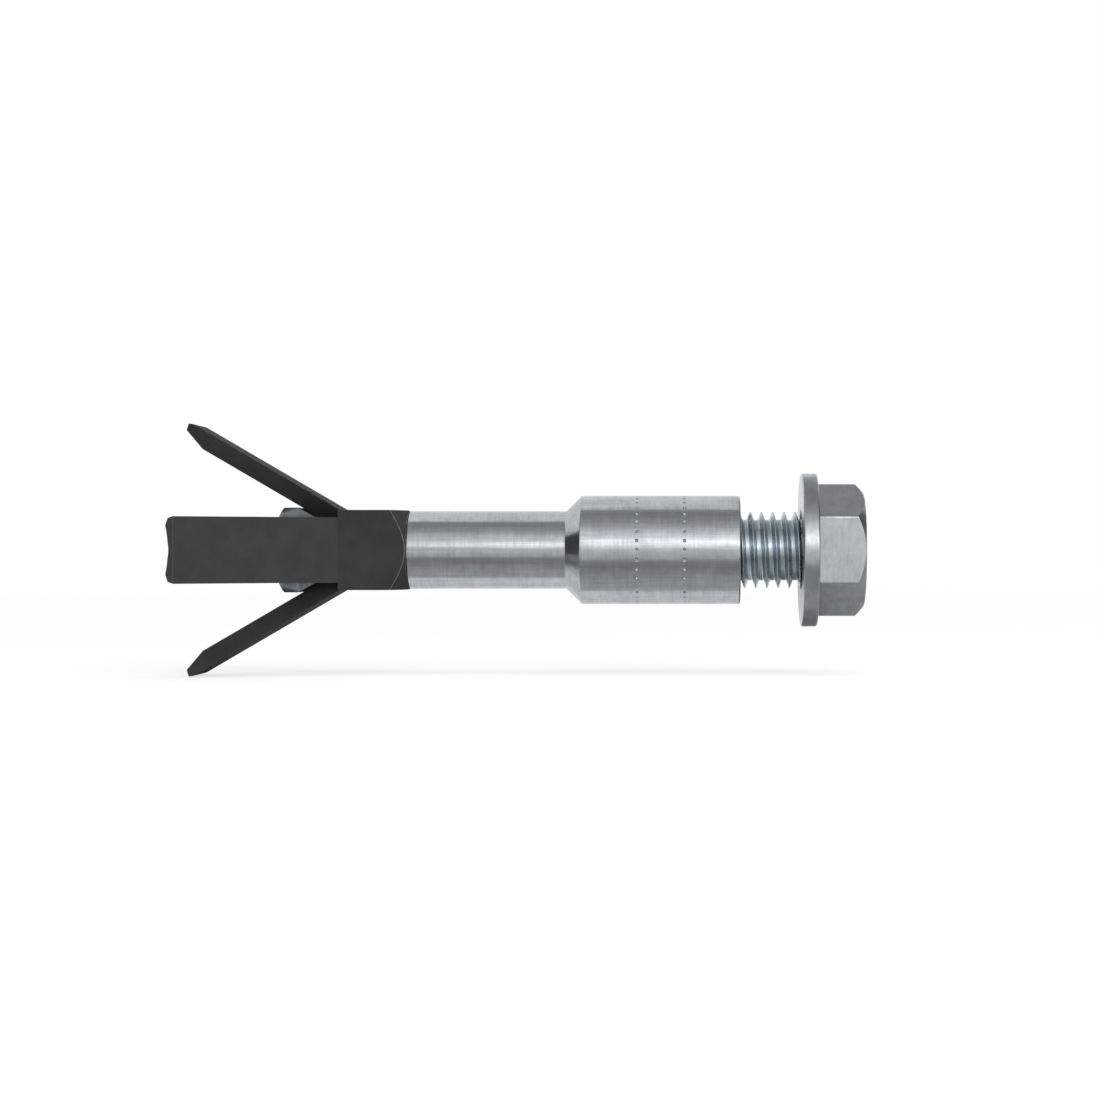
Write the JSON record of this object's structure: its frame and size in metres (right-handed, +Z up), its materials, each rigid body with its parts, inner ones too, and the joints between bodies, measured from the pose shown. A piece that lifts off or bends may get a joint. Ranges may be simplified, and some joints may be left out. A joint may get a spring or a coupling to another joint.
{
  "type": "internally threaded aerated concrete anchor",
  "caption": "Set anchor for aerated concrete: threaded sleeve, expansion sleeve with spread legs, wedge bolt, and a hexagon screw with washer.",
  "frame": {"origin": "centre of the threaded sleeve's mouth, level with the wall's surface", "axes": "+X along the anchor's axis, out of the wall towards the screw's head; +Z up, with one corner of the hexagon head up and one leg up"},
  "size_m": [0.1054, 0.0392, 0.0392],
  "materials": {
    "galvanised_sleeve": "satin zinc plating",
    "coated_steel": "matt dark coating",
    "zinc_bolt": "satin zinc plating",
    "zinc_screw": "satin zinc plating"
  },
  "bodies": {
    "expander": {"expansion_sleeve": "coated_steel"},
    "sleeve": {"threaded_sleeve": "galvanised_sleeve"},
    "wedge": {"wedge_bolt": "zinc_bolt"},
    "washer": {"washer": "zinc_screw"},
    "screw": {"hex_screw": "zinc_screw"}
  },
  "joints": [
    {"name": "sleeve_spin", "type": "hinge", "parent": "expander", "child": "sleeve", "pos_m": [0, 0, 0], "axis": [1, 0, 0], "range_deg": [0, 5760]},
    {"name": "wedge_travel", "type": "slide", "parent": "expander", "child": "wedge", "axis": [-1, 0, 0], "range_m": [0, 0.02]},
    {"name": "screw_spin", "type": "hinge", "parent": "washer", "child": "screw", "pos_m": [0.012, 0, 0], "axis": [1, 0, 0], "range_deg": [-720, 3600]},
    {"name": "washer_slide", "type": "slide", "parent": "sleeve", "child": "washer", "axis": [1, 0, 0], "range_m": [-0.0035, 0.0175]}
  ],
  "couplings": [
    {"joint": "sleeve_spin", "follows": "wedge_travel", "rad_per_m": 5026.5},
    {"joint": "screw_spin", "follows": "washer_slide", "rad_per_m": 3590.4}
  ]
}
